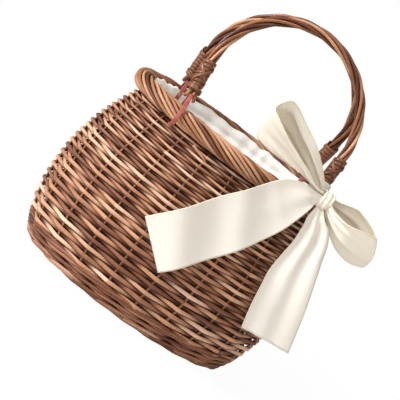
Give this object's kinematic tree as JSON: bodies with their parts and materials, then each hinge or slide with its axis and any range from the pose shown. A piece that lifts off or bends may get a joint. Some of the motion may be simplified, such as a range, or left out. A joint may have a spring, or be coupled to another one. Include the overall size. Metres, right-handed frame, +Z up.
{
  "type": "flower basket",
  "caption": "Oval willow flower basket with a swelling woven body, rolled rim, cotton lining, paired folding twisted handles and a satin bow with hanging tails.",
  "frame": {"origin": "middle of the underside, on the surface the basket stands on", "axes": "+Z up, X along the basket's length and the handles' span with +X to the right seen from the front, -Y towards the front, where the bow is"},
  "size_m": [0.2696, 0.1735, 0.2972],
  "materials": {
    "woven_willow": "satin",
    "stake_willow": "satin",
    "rim_willow": "satin",
    "handle_willow": "satin",
    "cane_binding": "satin",
    "leather_tie": "matte",
    "cotton": "matte",
    "satin": "satin"
  },
  "bodies": {
    "basket": {"base_weave": "woven_willow", "base_stick_1": "stake_willow", "base_stick_2": "stake_willow", "base_stick_3": "stake_willow", "wale_band": "woven_willow", "side_weave": "woven_willow", "stake_01": "stake_willow", "stake_02": "stake_willow", "stake_03": "stake_willow", "stake_04": "stake_willow", "stake_05": "stake_willow", "stake_06": "stake_willow", "stake_07": "stake_willow", "stake_08": "stake_willow", "stake_09": "stake_willow", "stake_10": "stake_willow", "stake_11": "stake_willow", "stake_12": "stake_willow", "stake_13": "stake_willow", "stake_14": "stake_willow", "stake_15": "stake_willow", "stake_16": "stake_willow", "stake_17": "stake_willow", "stake_18": "stake_willow", "stake_19": "stake_willow", "stake_20": "stake_willow", "rim_border": "rim_willow", "lining": "cotton"},
    "front_handle": {"front_rod_1": "handle_willow", "front_rod_2": "handle_willow", "front_rod_3": "handle_willow", "front_rod_4": "handle_willow", "front_rod_5": "handle_willow", "front_binding_left": "cane_binding", "front_binding_right": "cane_binding", "front_tie_left": "leather_tie", "front_tie_right": "leather_tie", "ribbon_band": "satin", "ribbon_knot": "satin", "ribbon_loop_left": "satin", "ribbon_loop_right": "satin"},
    "back_handle": {"back_rod_1": "handle_willow", "back_rod_2": "handle_willow", "back_rod_3": "handle_willow", "back_rod_4": "handle_willow", "back_rod_5": "handle_willow", "back_binding_left": "cane_binding", "back_binding_right": "cane_binding", "back_tie_left": "leather_tie", "back_tie_right": "leather_tie"},
    "ribbon_tails": {"ribbon_tail_left": "satin", "ribbon_tail_right": "satin"}
  },
  "joints": [
    {"name": "front_handle_fold", "type": "hinge", "parent": "basket", "child": "front_handle", "pos_m": [0, -0.04742, 0.17], "axis": [1, 0, 0], "range_deg": [0, 100]},
    {"name": "back_handle_fold", "type": "hinge", "parent": "basket", "child": "back_handle", "pos_m": [0, 0.04742, 0.17], "axis": [-1, 0, 0], "range_deg": [0, 150]},
    {"name": "ribbon_tails_hang", "type": "hinge", "parent": "front_handle", "child": "ribbon_tails", "pos_m": [0.07447, -0.05875, 0.18706], "axis": [1, 0, 0], "range_deg": [-100, 0]}
  ],
  "couplings": [
    {"joint": "ribbon_tails_hang", "follows": "front_handle_fold", "ratio": -1}
  ]
}
